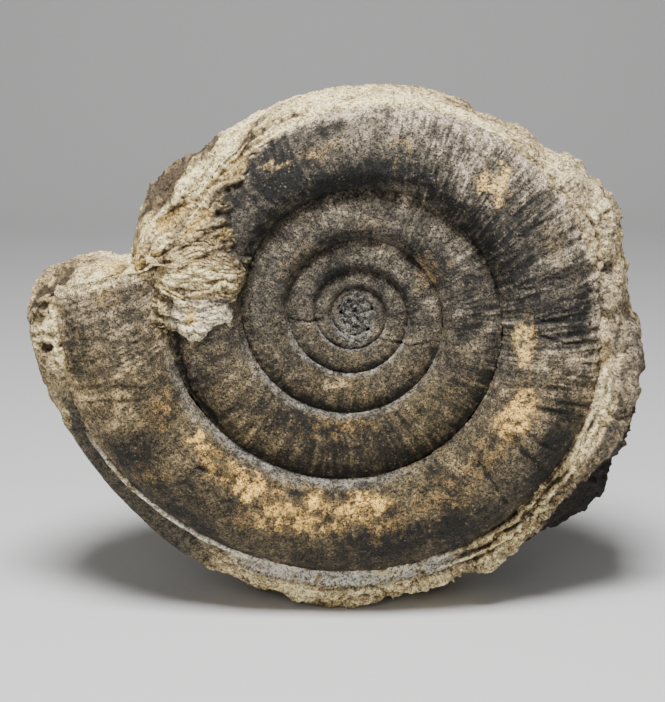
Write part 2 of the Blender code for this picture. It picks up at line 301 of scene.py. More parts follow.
# Pale patches are paler tone; the two along the top crest at (14, 81) and (20, 89) are paler tone with painted
# light, and the one at (-7, -31) is a painted highlight
PALE_AND_LIT = (
    (-104, -3, 10, 2.0, 0, 0.8), (-108, -8, 26, 30, 0, 0.3), (-98, -19, 8, 2.0, 0, 0.65),
    (-109, -37, 1.5, 6, -30, 1.0), (-108, -49, 1.5, 3, -20, 1.0), (-92, 12, 8, 12, 0, 0.6),
    (-120, -20, 4, 24, 8, 0.35), (14, 81, 34, 9, 0, 0.55), (-112, -46, 18, 18, 0, 0.6),
    (-112, 6, 20, 10, 0, 0.5), (76, -46, 14, 24, 15, 0.3), (60, 68, 24, 16, 45, 0.35),
    (92, 30, 12, 26, 10, 0.4), (20, 89, 28, 6, 10, 0.6), (44, 34, 8, 18, -35, 0.55), (58, 4, 5, 20, 0, 0.4),
    (26, 53, 20, 7, 30, 0.45), (-70, -6, 8, 9, 0, 0.5), (-12, 47, 24, 6, -15, 0.45),
    (100, -36, 8, 22, 10, 0.4), (8, 31, 18, 4, 10, 0.4), (-118, 0, 5, 16, 0, 0.3),
    (-7, -31, 9, 2.5, 0, 0.9), (-112, -40, 20, 26, 10, 0.85), (-52, -26, 12, 22, 40, 0.4),
    (52, -14, 6, 26, 10, 0.4), (90, -62, 8, 14, 35, 0.3), (-30, -60, 20, 4, 20, 0.2),
    (30, -116, 26, 5, -14, 0.3),
)
# Dark patches are darker tone, except those over the top of the coil, from (-42, 88) to (34, 60), which are
# painted shade on the whorls' undersides
DARK_AND_SHADE = (
    (-36, 62, 22, 9, -35, 1.0), (-34, 74, 16, 9, -30, 0.8), (-14, 84, 12, 6, -10, 0.5),
    (0, 66, 28, 5, 0, 0.9), (34, 60, 18, 7, 30, 0.7), (-100, -54, 14, 9, 30, 0.65),
    (-60, -10, 12, 9, 20, 0.3), (-106, -64, 9, 5, 30, 0.4), (60, 40, 9, 14, -30, 0.5),
    (72, 22, 8, 12, -10, 0.45), (26, -97, 44, 10, -14, 0.85), (-12, -46, 34, 9, 0, 0.6),
    (92, -48, 8, 20, 20, 0.45), (100, 8, 7, 14, 0, 0.5), (-40, 40, 14, 10, -35, 0.35),
    (88, -66, 14, 20, 35, 0.5), (0, -62, 34, 6, 0, 0.45), (-96, -88, 18, 12, 40, 0.4),
    (-42, 88, 8, 6, -40, 0.5), (48, -20, 8, 24, 20, 0.3), (-10, 20, 12, 6, -20, 0.4),
)
# Cracks in the shell: points in mm, half width in mm, depth from 0 to 1
CRACKS = (
    (((77, -4), (92, -9), (108, -9)), 1.1, 0.8),
    (((-121, -8), (-112, -6.5), (-104, -8.5), (-95, -8)), 1.6, 0.4),
    (((-118, -29), (-104, -27), (-94, -28.5)), 1.4, 0.35),
    (((-119, -35.5), (-108, -34), (-90.6, -33.3)), 1.2, 0.45),
    (((-70, -65), (-56, -70), (-43, -74), (-28, -78), (-11, -79)), 1.2, 0.9),
    (((-29, -1), (-20, -2.5), (-14, -1)), 0.7, 0.7),
    (((10, -10), (24, -13), (33, -12)), 0.7, 0.7),
    (((66, 52), (74, 60), (86, 68)), 0.8, 0.6),
    (((70, 38), (80, 44), (96, 50)), 0.9, 0.6),
    (((66, -50), (76, -60), (87, -70)), 2.4, 1.0),
    (((72, -47), (81, -54), (90, -60)), 1.6, 0.8),
    (((55, -64), (62, -74), (68, -84)), 1.3, 0.7),
    (((96, 2), (84, 1), (74, 4)), 1.3, 0.6),
    (((94, 20), (82, 15), (72, 14)), 1.3, 0.6),
)
# Rows and columns of the shell's points: distance between rows at the middle of a whorl, columns across a whorl
SHELL_SPACING = 0.62 * MM
INNER_COLUMNS, LAST_COLUMNS = 44, 62
PAST_RIM = (1.02, 1.06, 1.12, 1.2)
END_ROWS = 34
FIRST_ANGLE = -9 * TURN
STRIAE_EACH_RADIAN = 42.0
STRIAE_EACH_WHORL = 2.6
# The gap between the crust and the broken end, sunk and darkened along it as painted shade
CREVICE = ((-86, 16), (-82, 9), (-80, -3), (-79, -14), (-76.3, -28), (-71, -38), (-62, -49))


def growth_lines(points, lean, share, z):
    """Lines across the whorls, finer ones on coarser ones, that fade in places and towards the bottom."""
    coarse = waves(11, lean * 24, share * 1.4, 0)
    middle = waves(12, lean * 62, share * 2.2, 5)
    fine = waves(13, lean * 150, share * 3.2, 9)
    kept = smooth(fractal(points, 40 * MM, 2, 14), -0.5, 0.5)
    return (0.6 * coarse + 0.5 * middle + 0.55 * fine) * (0.35 + 0.65 * kept) * (1 - 0.5 * smooth(-z, 40, 90))


def lit_inner_wall(angle, share, x, rough, broad):
    """The inner walls that face upwards, most of all to the lower left: smoother, and paler as painted light.
    """
    facing_up = smooth(-np.cos(angle), -0.1, 0.5)
    lit_wall = (1 - smooth(share + 0.03 * rough + 0.03 * broad, 0.03, 0.12)) * facing_up
    return lit_wall * (0.25 + 0.75 * smooth(-x + 10 * broad, -45, 10)) * (0.5 + 0.5 * smooth(broad, -0.5, 0.3))


def rock_edge(angle, radius, turned, rough, broad):
    """Rock left on the shell along its free rim, with a crisper edge at the upper left."""
    crisp = between(turned, 290, 305, 332, 352)
    ragged_radius = radius + (1 - 0.7 * crisp) * (2.5 * MM * rough + 4 * MM * broad)
    edge = smooth(ragged_radius, (0.93 + 0.045 * crisp) * outer_edge(angle), 0.985 * outer_edge(angle))
    return edge * (angle + TURN > LAST_ANGLE) * (1 - 0.8 * smooth(-np.cos(angle), 0.2, 0.8))


def coil_detail(points, angle, share, radius, height):
    """Relief of the shell in metres along its normals, and the masks that colour it."""
    x, z = on_face(points)
    size = np.clip(radius / (100 * MM), 0.12, 1.15)
    lean = angle + 0.10 * share + 0.035 * np.sin(share * math.pi)
    streak = growth_lines(points, lean, share, z)
    on_last = smooth(angle, LAST_ANGLE - TURN - 0.3, LAST_ANGLE - TURN + 0.6)
    broad = fractal(points, 20 * MM, 3, 21)
    rough = fractal(points, 2.4 * MM, 3, 25, 0.6)
    blotch = fractal(points, 9 * MM, 3, 28, 0.6)
    pits = smooth(fractal(points, 3.4 * MM, 2, 31), 0.42, 0.8)
    centre = 1 - smooth(np.hypot(x / 0.85, (z + 3.0) / 1.25) + 1.5 * broad, 8.0, 12.5)
    crystal = chips(points, 2.2 * MM, 41)
    lit_wall = lit_inner_wall(angle, share, x, rough, broad)
    turned = np.degrees(angle) % 360
    crust_edge = rock_edge(angle, radius, turned, rough, broad)
    # The gap at the broken end: sunk, and darkened as painted shade
    crevice = 0.8 * stroke(x + 1.2 * rough, z + 1.2 * broad, CREVICE, 1.8)
    streaky = between(turned, 5, 30, 100, 150) + 0.7 * smooth(turned, 235, 262) * (turned < 290)
    streaky = 0.25 + (0.05 + 0.7 * on_last) * streaky
    relief = 0.6 * MM * size * broad + 0.5 * MM * size * streak * (0.3 + 0.7 * streaky)
    relief = relief + 0.24 * MM * (0.4 + 0.6 * size) * rough - 0.34 * MM * pits * (0.4 + 0.6 * size)
    flat = (0.9 * MM - height * 0.8) * (1 - smooth(radius, 6 * MM, 11 * MM))
    relief = relief * (1 - centre) + centre * (flat + 2.2 * MM * crystal + 0.7 * MM * rough)
    relief = relief + crust_edge * (0.5 * MM + 0.35 * MM * rough) - 1.4 * MM * crevice
    cracks = np.zeros(x.shape)
    for line, half, depth in CRACKS:
        cracks = np.maximum(cracks, depth * stroke(x + 0.8 * rough, z + 0.8 * broad, line, half))
    to_end = (LAST_ANGLE - angle) * radius + 1.5 * MM * rough + 1.5 * MM * broad
    end_edge = (1 - smooth(to_end + 1.5 * MM * broad, 1.5 * MM, 7.5 * MM)) * on_last
    # Painted shade: darker where the whorls face down, on the inner part of each whorl over the top of the coil
    # and on the outer part under it
    painted_underside_shade = np.maximum(np.cos(angle), 0) * (1 - smooth(share, 0.1, 0.45))
    painted_underside_shade = painted_underside_shade + 1.5 * np.maximum(-np.cos(angle), 0) * smooth(share, 0.6, 1.0)
    relief = relief * (1 - 0.35 * lit_wall) - 0.8 * MM * cracks - 0.7 * MM * end_edge
    ochre = patches(x + 5 * broad + 3 * blotch + 2 * rough, z + 7 * blotch + 2 * rough, OCHRE)
    off_seams = np.where(on_last > 0.5, smooth(share, 0.03, 0.10), 1 - smooth(share, 0.86, 0.97))
    low = smooth(-z + 14 * blotch, -10, 45) - 0.3 * smooth(x, 40, 80) + 0.45 * smooth(-x, 70, 90)
    # Paler tone, with painted light on the top crest and a painted highlight
    pale_and_lit = patches(x + 4 * broad, z + 3 * rough, PALE_AND_LIT)
    pale_and_lit = np.maximum(pale_and_lit, np.maximum(crust_edge, 1.4 * end_edge))
    by_wall = 1 - smooth(share + 0.05 * broad, 0.04, 0.16)
    dark = np.maximum(patches(x + 3 * rough, z + 4 * broad, DARK_AND_SHADE), np.maximum(cracks, crevice))
    masks = {
        "edge": end_edge,
        "streak": streak,
        "streaky": streaky,
        "around": lean * STRIAE_EACH_RADIAN,
        "across": share * STRIAE_EACH_WHORL,
        "ochre": ochre * off_seams,
        "warm": np.clip(low, 0, 1) * (1 - 0.75 * lit_wall),
        "pale_and_lit": pale_and_lit + 0.7 * by_wall * smooth(angle, LAST_ANGLE - 0.7, LAST_ANGLE - 0.2),
        "dark": dark + 0.5 * painted_underside_shade,
        "lit_wall": lit_wall,
        "centre": centre,
    }
    return relief, masks


def coil_grid(first_angle, last_angle, shares, end_rows):
    """A run of the coil's near flank as a grid of points, with the free rim's side and the broken face."""
    at_middle = 0.5 * (1 + math.exp(GROWTH * TURN))
    first, last = (SEAM_AT_TOP * at_middle * math.exp(GROWTH * a) / GROWTH for a in (first_angle, last_angle))
    count = max(int((last - first) / SHELL_SPACING), 2)
    angle = np.log(np.linspace(first, last, count + 1) * GROWTH / (SEAM_AT_TOP * at_middle)) / GROWTH
    angle = angle[:, None]
    share = np.array(shares)[None, :]
    inner, outer = seam(angle), outer_edge(angle)
    is_free = angle + TURN > LAST_ANGLE
    radius = inner + (outer - inner) * np.minimum(share, 1.0)
    height = whorl_height(inner, outer, np.minimum(share, 1.0), is_free)
    height = height - np.maximum(share - 1.0, 0.0) * 60 * MM
    back = smooth(angle, LAST_ANGLE - END_RUN, LAST_ANGLE) * BROKEN_END_SLANT * np.minimum(share, 1.0)
    turned = angle - back
    angle = np.broadcast_to(angle, radius.shape)
    share = np.broadcast_to(share, radius.shape)
    face = np.zeros(radius.shape)
    if end_rows:
        depth = np.linspace(0.0, 1.0, end_rows + 1)[1:, None]
        near, far = height[-1][None, :], -(BACK_DEPTH + BACK_SLOPE * radius[-1][None, :])
        radius = np.concatenate((radius, radius[-1] + 0 * depth))
        height = np.concatenate((height, near + (far - near) * depth))
        turned = np.concatenate((turned, turned[-1] - BROKEN_END_LEAN * depth))
        angle = np.concatenate((angle, angle[-1] + 0 * depth))
        share = np.concatenate((share, share[-1] + 0 * depth))
        face = np.concatenate((face, smooth(depth, 0.0, 0.06) + 0 * near))
    return place(radius, turned, height), angle, share, radius, face


def add_mesh(name, grids, masks):
    """One mesh from several grids of points, with a value at each point for every mask."""
    corners, faces, start = [], [], 0
    for grid, closed in grids:
        rows, columns = grid.shape[:2]
        number = np.arange(rows * columns).reshape(rows, columns) + start
        if closed:
            number = np.concatenate((number, number[:1]))
        quads = np.stack((number[:-1, :-1], number[1:, :-1], number[1:, 1:], number[:-1, 1:]), axis=-1)
        faces.append(quads.reshape(-1, 4))
        corners.append(grid.reshape(-1, 3))
        start += rows * columns
    corners, faces = np.concatenate(corners), np.concatenate(faces)
    data = bpy.data.meshes.new(name)
    data.vertices.add(len(corners))
    data.vertices.foreach_set("co", corners.astype(np.float32).ravel())
    data.loops.add(faces.size)
    data.loops.foreach_set("vertex_index", faces.astype(np.int32).ravel())
    data.polygons.add(len(faces))
    data.polygons.foreach_set("loop_start", np.arange(0, faces.size, 4, dtype=np.int32))
    data.update(calc_edges=True)
    for mask in masks[0]:
        values = np.concatenate([group[mask].ravel() for group in masks])
        data.attributes.new(mask, "FLOAT", "POINT").data.foreach_set("value", values.astype(np.float32))
    data.validate()
    data.shade_smooth()
    item = bpy.data.objects.new(name, data)
    bpy.context.scene.collection.objects.link(item)
    return item


def skin(grid, relief):
    """Moves a grid out along its normals."""
    return grid + normals_of(grid) * relief[..., None]


def shell_shares(count):
    """Places across a whorl, closer together at the inner wall and the seams."""
    even = np.linspace(0.0, 1.0, count)
    return even - 0.035 * np.sin(TURN * even) - 0.012 * np.sin(2 * TURN * even)


def make_shell():
    """The coil's inner whorls and its last whorl."""
    pieces = []
    last_start = LAST_ANGLE - TURN
    last_shares = np.concatenate((shell_shares(LAST_COLUMNS), PAST_RIM))
    for name, first, last, shares, end_rows in (
        ("shell_inner_whorls", FIRST_ANGLE, last_start, shell_shares(INNER_COLUMNS), 0),
        ("shell_last_whorl", last_start, LAST_ANGLE, last_shares, END_ROWS),
    ):
        grid, angle, share, radius, face = coil_grid(first, last, shares, end_rows)
        relief, masks = coil_detail(grid, angle, share, radius, AXIS_Y - grid[..., 1])
        masks["face"] = np.maximum(face, masks.pop("edge"))
        item = add_mesh(name, [(skin(grid, relief), False)], [masks])
        item.data.materials.append(shell_material())
        pieces.append(item)
    return pieces


# The block

def rim_radius(degrees):
    """Radius of the coil's outermost edge in a direction."""
    degrees = np.where(degrees > math.degrees(LAST_ANGLE) - 720, degrees - 360, degrees)
    return seam(3 * TURN + np.radians(degrees)) * along(RIM_SHARE, degrees)


def cover_level(radius):
    """Height of the rock over the upper left of the coil."""
    return COVER_HEIGHT - 11 * MM * smooth(radius, 82 * MM, 101 * MM)


def cover_height(degrees, radius):
    """How far the rock over the upper left of the coil is there, and its height."""
    edge = along(COVER_EDGE, radius / MM)
    sector = between(degrees, COVER_FROM, COVER_FROM + 8, edge - 5, edge + 3)
    return sector * smooth(radius, 51 * MM, 58 * MM), cover_level(radius)


def crust_limit(degrees):
    """Thickest that the crust gets: thinner towards the top of the coil."""
    return 12 * MM - 9 * MM * smooth(degrees, 288, 312)


def ledge_noise(degrees):
    """How far the block's sides step out in each direction."""
    around = [Vector((2.5 * math.sin(a), 2.5 * math.cos(a), 0.5)) for a in np.radians(degrees)]
    return np.array([0.65 + 0.9 * noise.noise(spot) for spot in around])


def block_rings(degrees):
    """The block's meridians at many angles, as (radius, height) at each ring from the bed to the back."""
    angle = np.radians(degrees)
    waist = along(WAIST, degrees) * MM
    at_end = (degrees >= END_EDGE[0][0]) & (degrees <= END_EDGE[-1][0])
    lip = np.where(at_end, along(END_EDGE, degrees) * MM, waist - LIP_INSET)
    rim = np.minimum(rim_radius(degrees), lip - 3 * MM)
    lift = np.cos(angle)
    step_down = between(degrees, 198, 210, 246, 262)
    brim = RIM_SLOPE * rim + 0.4 * MM
    groove = brim + (GROOVE_HEIGHT - brim) * between(degrees, 138, 165, 196, 214)
    lip_crest = LIP_CREST_HEIGHT - 1.5 * MM * (1 + lift) - 2.2 * MM * step_down
    rings = [
        (0.90 * rim, BED_HEIGHT + 0 * rim),
        (0.97 * rim, BED_HEIGHT + 0 * rim),
        (rim - 0.4 * MM, groove),
        (rim + 0.5 * (lip - rim), lip_crest),
        (lip, LIP_HEIGHT + 0 * rim),
    ]
    raised = rings[:2]
    for radius, height in rings[2:]:
        weight, level = cover_height(degrees, radius)
        raised.append((radius, height + weight * np.clip(level - height, 0.0, crust_limit(degrees))))
    rings = raised + [(waist, WAIST_HEIGHT + 0 * waist)]
    foot = between(degrees, FOOT_FROM, FOOT_FROM + 12, FOOT_TO - 12, FOOT_TO)
    heel = np.exp(-((degrees - HEEL_ANGLE) / HEEL_WIDTH) ** 2)
    softened = sum(along(WAIST, (degrees + turn) % 360) for turn in SOFTENING) / len(SOFTENING) * MM
    near_notch = between(degrees, 245, 270, 295, 320)
    ledge = np.maximum(ledge_noise(degrees), 0.0)
    for height, share, step_out in BLOCK_RINGS:
        behind = WAIST_HEIGHT - height
        outline = along(WAIST, degrees - NOTCH_TURN * min(behind, 30 * MM) * near_notch) * MM
        far_back = smooth(height, WAIST_HEIGHT, NOTCH_SOFTENS_AT)
        outline = outline + np.minimum(softened - outline, 0.0) * far_back
        if share < 0.9:
            outline = BACK_RADIUS + (softened - BACK_RADIUS) * smooth(share, 0.5, 1.0)
        radius = outline * share + step_out * ledge - TOP_FALL * np.maximum(lift, 0.0) * behind * share
        if share > 0.9:
            heel_step = heel * HEEL_REACH * smooth(height, WAIST_HEIGHT, -34 * MM)
            radius = radius + heel_step * smooth(height, -72 * MM, -50 * MM)
            floor_radius = AXIS_Z / np.maximum(-lift, 0.5) + 0.5 * MM
            radius = radius + foot * np.maximum(floor_radius - radius, 0.0)
        rings.append((radius, height + 0 * radius))
    rings.append((0 * waist, BLOCK_BACK + 0 * waist))
    return rings


def swelling_at(point):
    """Broad lumps of the block at one point."""
    spot = Vector(point) / LUMP_SIZE
    return LUMP * noise.noise(spot) + 0.4 * LUMP * noise.noise(spot * 2.3)


def block_grid(first, runs):
    """Part of the block as a closed grid with a row for each angle, from one ring on, runs[k] steps each."""
    degrees = np.unique(np.concatenate([np.arange(*run) for run in MERIDIANS]))
    rings = block_rings(degrees)[first:first + len(runs) + 1]
    radius, height = [], []
    for (r0, h0), (r1, h1), run in zip(rings, rings[1:], runs):
        for step in range(run):
            radius.append(r0 + (r1 - r0) * step / run)
            height.append(h0 + (h1 - h0) * step / run)
    radius.append(rings[-1][0])
    height.append(rings[-1][1])
    radius, height = np.stack(radius, axis=1), np.stack(height, axis=1)
    angle = np.radians(degrees)[:, None]
    grid = place(radius, angle, height)
    swelling = np.array([swelling_at(point) for point in grid.reshape(-1, 3)]).reshape(radius.shape)
    swelling = swelling * smooth(WAIST_HEIGHT - height, 2 * MM, 20 * MM)
    grid = place(radius + swelling, angle, height + 0.6 * swelling)
    return grid, np.broadcast_to(degrees[:, None], radius.shape), radius, height


# Patches on the rock: x and z of the middle in mm, half width, half height, turn in degrees, strength
# Brown patches; those at (112, -86) and (92, -88) on the heel are brown deepened as painted shade
ROCK_BROWN = (
    (-97, 44, 7, 12, 15, 0.35), (112, -86, 26, 16, 0, 1.0), (118, 0, 7, 16, 0, 0.4),
    (-141, -24, 5, 18, 0, 0.6), (-114, 27, 12, 3.5, 5, 0.7), (112, 14, 4, 12, 0, 0.5),
    (100, 60, 10, 12, -40, 0.35), (112, 36, 5, 10, 0, 0.35), (116, -30, 5, 12, 10, 0.45),
    (94, 76, 8, 5, 40, 0.3), (60, -118, 20, 6, -20, 0.4), (92, -88, 12, 8, -30, 0.45),
    (-128, -30, 8, 14, 0, 0.4),
)
# Cream patches; those along the top edge at (-50, 93), (-43, 91) and (-50, 88) are painted highlights
ROCK_CREAM_AND_HIGHLIGHT = (
    (-50, 93, 10, 3, -40, 1.4), (-43, 91, 5, 3.5, -40, 1.0), (-79, 70, 4, 2.5, -40, 1.2),
    (-76, 0, 5, 12, 0, 0.7), (-66, 1, 14, 10, 0, 0.9), (112, -40, 7, 24, 15, 0.7),
    (108, 40, 8, 26, -5, 0.5), (-50, 88, 8, 5, -40, 1.0), (-61, 76, 8, 6, -45, 0.9),
    (-74, 58, 7, 8, 40, 0.8), (-87, 37, 9, 8, 0, 0.9), (-97, 27, 8, 6, 0, 0.7), (0, 96, 46, 6, 0, 0.9),
    (46, 88, 14, 6, 30, 0.7), (-82, 73, 4, 3, -45, 1.0), (-136, 4, 6, 18, 0, 0.8),
    (-116, 18, 24, 5, -8, 1.0), (-62, 22, 18, 12, 0, 0.5), (-82, 20, 10, 9, 0, 0.6),
    (110, -6, 5, 7, 0, 1.1), (106, 30, 5, 8, 0, 0.6), (112, -28, 5, 10, 0, 0.5), (104, -60, 6, 14, 30, 0.4),
    (74, -104, 14, 6, -35, 0.7), (20, -126, 26, 5, -8, 0.6), (-24, -132, 18, 6, 8, 0.8),
    (90, 64, 14, 8, -40, 0.5), (-69, -9, 7, 4, 0, 1.0), (84, -84, 8, 8, 0, 0.6),
)
ROCK_OCHRE = (
    (-72, 2, 4, 6, 15, 0.8), (-97, 29, 7, 5, -20, 0.5), (-110, 21, 10, 3, 0, 0.7),
    (-58, 40, 8, 4, -35, 0.5), (-66, 12, 14, 3, 0, 0.5), (-69, 44, 14, 4, -45, 0.6),
    (-52, 66, 12, 4, -48, 0.55), (-72, 25, 12, 4, -15, 0.5), (-90, 41, 8, 7, 0, 0.5),
    (112, -50, 4, 16, 20, 0.5), (112, -18, 3, 12, 0, 0.5), (-26, 92, 10, 3, -20, 0.4),
    (30, -124, 10, 3, 0, 0.3),
)
ROCK_DARK = (
    (-64, 8, 12, 1.4, 0, 0.3), (-60, -2, 7, 7, 0, 0.2), (-54, 20, 5, 10, 0, 0.2), (-88, 60, 6, 4, 0, 0.4),
    (-84, 44, 5, 3, -30, 0.4), (107, 12, 3, 14, -5, 0.5), (50, -112, 20, 2.5, -20, 0.5),
)
# Small round holes: x, z and size in mm
PITS = ((114.7, 21.4, 4.2), (-138.5, -14.5, 3.2))
# Swelling and dip on the left tip's top: oval and rise in mm
TIP_TOP = (((-122, 24, 11, 8), 0.2), ((-105, 18, 9, 8), -0.5))
BROWN_FACE = (
    (-92.3, 58.5), (-81.0, 68.2), (-75.2, 72.3), (-66.2, 81.5), (-59.4, 78.3), (-62.1, 72.7), (-71.1, 69.1),
    (-77.4, 60.8), (-78.8, 51.6), (-92.3, 47.0), (-98.0, 50.0),
)
TAN_FACET = (
    (-87.0, 39.1), (-88.0, 42.8), (-82.4, 46.5), (-73.4, 52.0), (-70.7, 55.2), (-75.2, 46.0), (-84.7, 35.9),
)
# Edges and grooves on the rock's face: points in mm, half width and rise in mm
ROCK_LINES = (
    (((-44, 93), (-53, 85), (-59.4, 78.4), (-62.1, 72.8), (-71.1, 69.2), (-77.4, 60.9), (-78.8, 51.7)),
     1.4, 1.3),
    (((-40, 88), (-46, 80), (-52, 72.5), (-60, 64), (-69, 55)), 1.1, 0.8),
    (((-72, 77), (-80, 68), (-89, 54)), 1.0, -0.7),
    (((-34, 99), (-14, 102), (10, 102.5), (34, 99)), 1.3, 0.9),
    (((-137.5, 9), (-134.5, 0), (-134, -9), (-134.5, -20)), 2.0, 1.3),
    (((-134, 16), (-118, 21), (-104, 24.5), (-94, 26)), 1.6, 0.8),
    (((110.5, 20), (108.5, 10), (110.5, 0)), 1.6, -1.1),
    (((103, 45), (108, 32), (107, 22)), 1.0, -1.1),
    (((90, 68), (99, 56), (104, 44)), 1.2, 1.0),
    (((118, -8), (117, -22), (113, -38)), 1.8, -0.8),
    (((84, -96), (66, -109), (46, -118)), 1.5, -1.2),
    (((92, -82), (76, -95), (58, -106), (40, -114)), 1.3, 1.4),
)
PALE_BAND = (
    (-43.7, 94.6), (-38.3, 93.7), (-44.1, 84.5), (-50.4, 74.8), (-56.3, 68.4), (-69.8, 56.4), (-73.4, 50.9),
    (-77.4, 61.0), (-71.1, 69.3), (-62.1, 73.0), (-59.4, 78.5), (-51.8, 84.5),
)
# Where the thin layers fan out from, and the ridge along the upper left
FAN_FROM = (-97.0, 21.0)
RIDGE = ((-46, 91), (-61, 77), (-74, 58), (-86, 39), (-95, 28))


def flakes(phase):
    """Layers broken off one above another: rises in a step across each edge, then falls away slowly."""
    return 0.5 - (phase - np.floor(phase))


def flake_fan(x, z, warp):
    """Thin layers of rock that fan out to the right from one point, in millimetres of relief."""
    reach = np.hypot(x - FAN_FROM[0], z - FAN_FROM[1])
    fan = np.degrees(np.arctan2(z - FAN_FROM[1], x - FAN_FROM[0])) + 6 * warp
    even = np.clip(reach, 22.0, 50.0) / 30
    long_wave = waves(111, reach / 24, fan / 6.5 * even, 0)
    short_wave = waves(112, reach / 13, fan / 2.8 * even, 3)
    fine_wave = waves(113, reach / 7, fan / 1.4 * even, 7)
    broken = smooth(waves(114, reach / 12, fan / 16, 5), -0.2, 0.5)
    steps = flakes(fan / 10.0 * even + 0.6 * long_wave) * broken
    return 0.9 * steps + 0.8 * long_wave + 0.7 * short_wave + 0.55 * fine_wave


def rim_layers(degrees, to_rim, broad, medium):
    """Ledges that follow the coil's rim at the lower right, broken in places."""
    bent = to_rim + 2.2 * broad + 1.2 * medium
    breaks = smooth(waves(133, degrees / 5, to_rim / 5, 0), -0.5, 0.1)
    gaps = close_to(bent, 4.2, 0.3, 1.3) + 0.8 * close_to(bent, 8.6, 0.3, 1.5)
    crests = close_to(bent, 2.0, 0.3, 1.5) + close_to(bent, 6.4, 0.3, 1.6)
    uneven = smooth(waves(136, degrees / 3.1, to_rim / 3, 4), -0.6, 0.4)
    at_rim = close_to(to_rim, 0.2, 0.2, 1.0)
    return 1.1 * crests * (0.25 + uneven) - 1.5 * gaps * breaks - 1.5 * at_rim


def flow_lines(x, z, broad):
    """Fine lines that run down to the left over the upper left of the rock."""
    lengthwise, crosswise = 0.60 * x + 0.80 * z, 0.80 * x - 0.60 * z
    coarse = waves(131, lengthwise / 24, crosswise / 2.8 + 0.5 * broad, 0)
    return coarse + 0.6 * waves(132, lengthwise / 12, crosswise / 1.3 + 0.5 * broad, 0)


def tip_strata(x, z, height, broad):
    """Thin layers of the left tip, nearly level."""
    coarse = waves(134, x / 13, (z - 0.12 * x) / 2.2 + 0.9 * broad, height / MM / 9)
    return coarse + 0.6 * waves(135, x / 6, z / 1.1 + broad, height / MM / 4)


